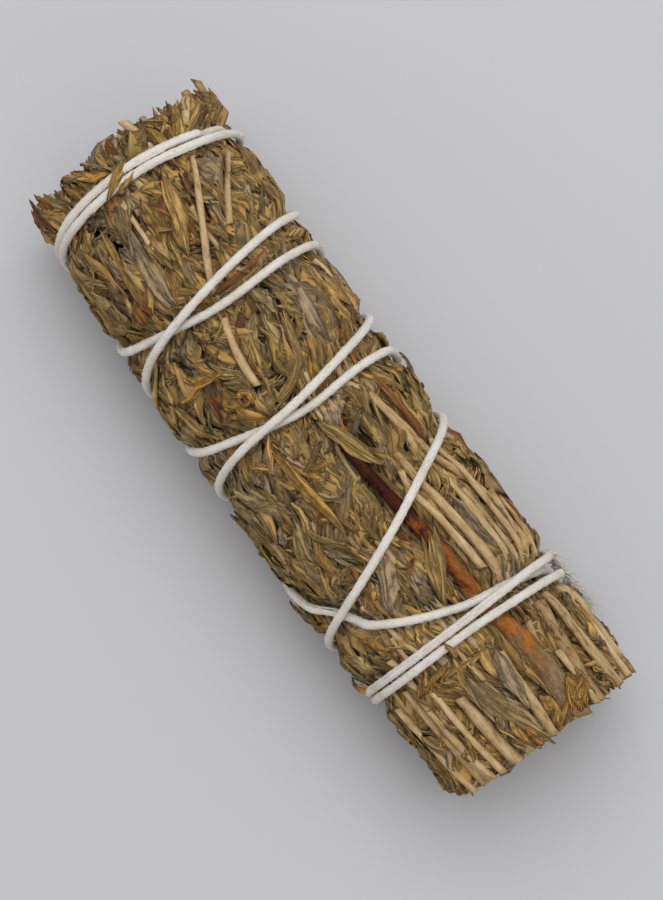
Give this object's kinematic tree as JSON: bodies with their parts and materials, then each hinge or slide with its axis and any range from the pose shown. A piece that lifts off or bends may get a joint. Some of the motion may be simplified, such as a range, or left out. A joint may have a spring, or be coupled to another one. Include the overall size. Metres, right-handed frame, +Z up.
{
  "type": "sage bunch",
  "caption": "Bunch of cut, dried sage sprigs laid side by side as a short thick roll and bound all along with white cotton string, leaf tips at one end and cut woody stems at the other.",
  "frame": {"origin": "middle of the whole bunch seen from above, on the surface that it lies on", "axes": "+X along the bunch towards the cut stems, +Y across it towards the side where the string is tied, +Z up"},
  "size_m": [0.1144, 0.0394, 0.032],
  "materials": {
    "sage_leaf": null,
    "loose_leaf": "single dried leaves, matte, ochre, olive, grey and purplish",
    "bare_stem": "dry straw-coloured stems, matte, finely grooved",
    "bark": "flaking rust-brown bark over pale wood, matte",
    "cotton": "white twisted cotton string, soft and a little fuzzy"
  },
  "bodies": {
    "root": {"bark_covered_stem": "bark", "bark_strip": "bark", "cotton_string": "cotton", "crumpled_leaf": "loose_leaf", "forked_stem": "bare_stem", "golden_leaf": "loose_leaf", "grey_leaf": "loose_leaf", "hooked_leaf": "loose_leaf", "knobbly_stem": "bare_stem", "leafy_sprig_01": "sage_leaf", "leafy_sprig_02": "sage_leaf", "leafy_sprig_03": "sage_leaf", "leafy_sprig_04": "sage_leaf", "leafy_sprig_05": "sage_leaf", "leafy_sprig_06": "sage_leaf", "leafy_sprig_07": "sage_leaf", "leafy_sprig_08": "sage_leaf", "leafy_sprig_09": "sage_leaf", "leafy_sprig_10": "sage_leaf", "leafy_sprig_11": "sage_leaf", "leafy_sprig_12": "sage_leaf", "leafy_sprig_13": "sage_leaf", "leafy_sprig_14": "sage_leaf", "leafy_sprig_15": "sage_leaf", "leafy_sprig_16": "sage_leaf", "leafy_sprig_17": "sage_leaf", "leafy_sprig_18": "sage_leaf", "leafy_sprig_19": "sage_leaf", "lobed_leaf": "loose_leaf", "ochre_leaf": "loose_leaf", "olive_leaf": "loose_leaf", "pale_stem_a": "bare_stem", "pale_stem_b": "bare_stem", "pale_stem_c": "bare_stem", "pale_stem_d": "bare_stem", "pale_stem_e": "bare_stem", "purple_leaf": "loose_leaf", "short_tip_stem": "bare_stem", "slim_stem": "bare_stem", "spatulate_leaf": "loose_leaf", "straight_stem": "bare_stem", "tan_stem": "bare_stem", "tip_leaf": "loose_leaf"}
  },
  "joints": []
}
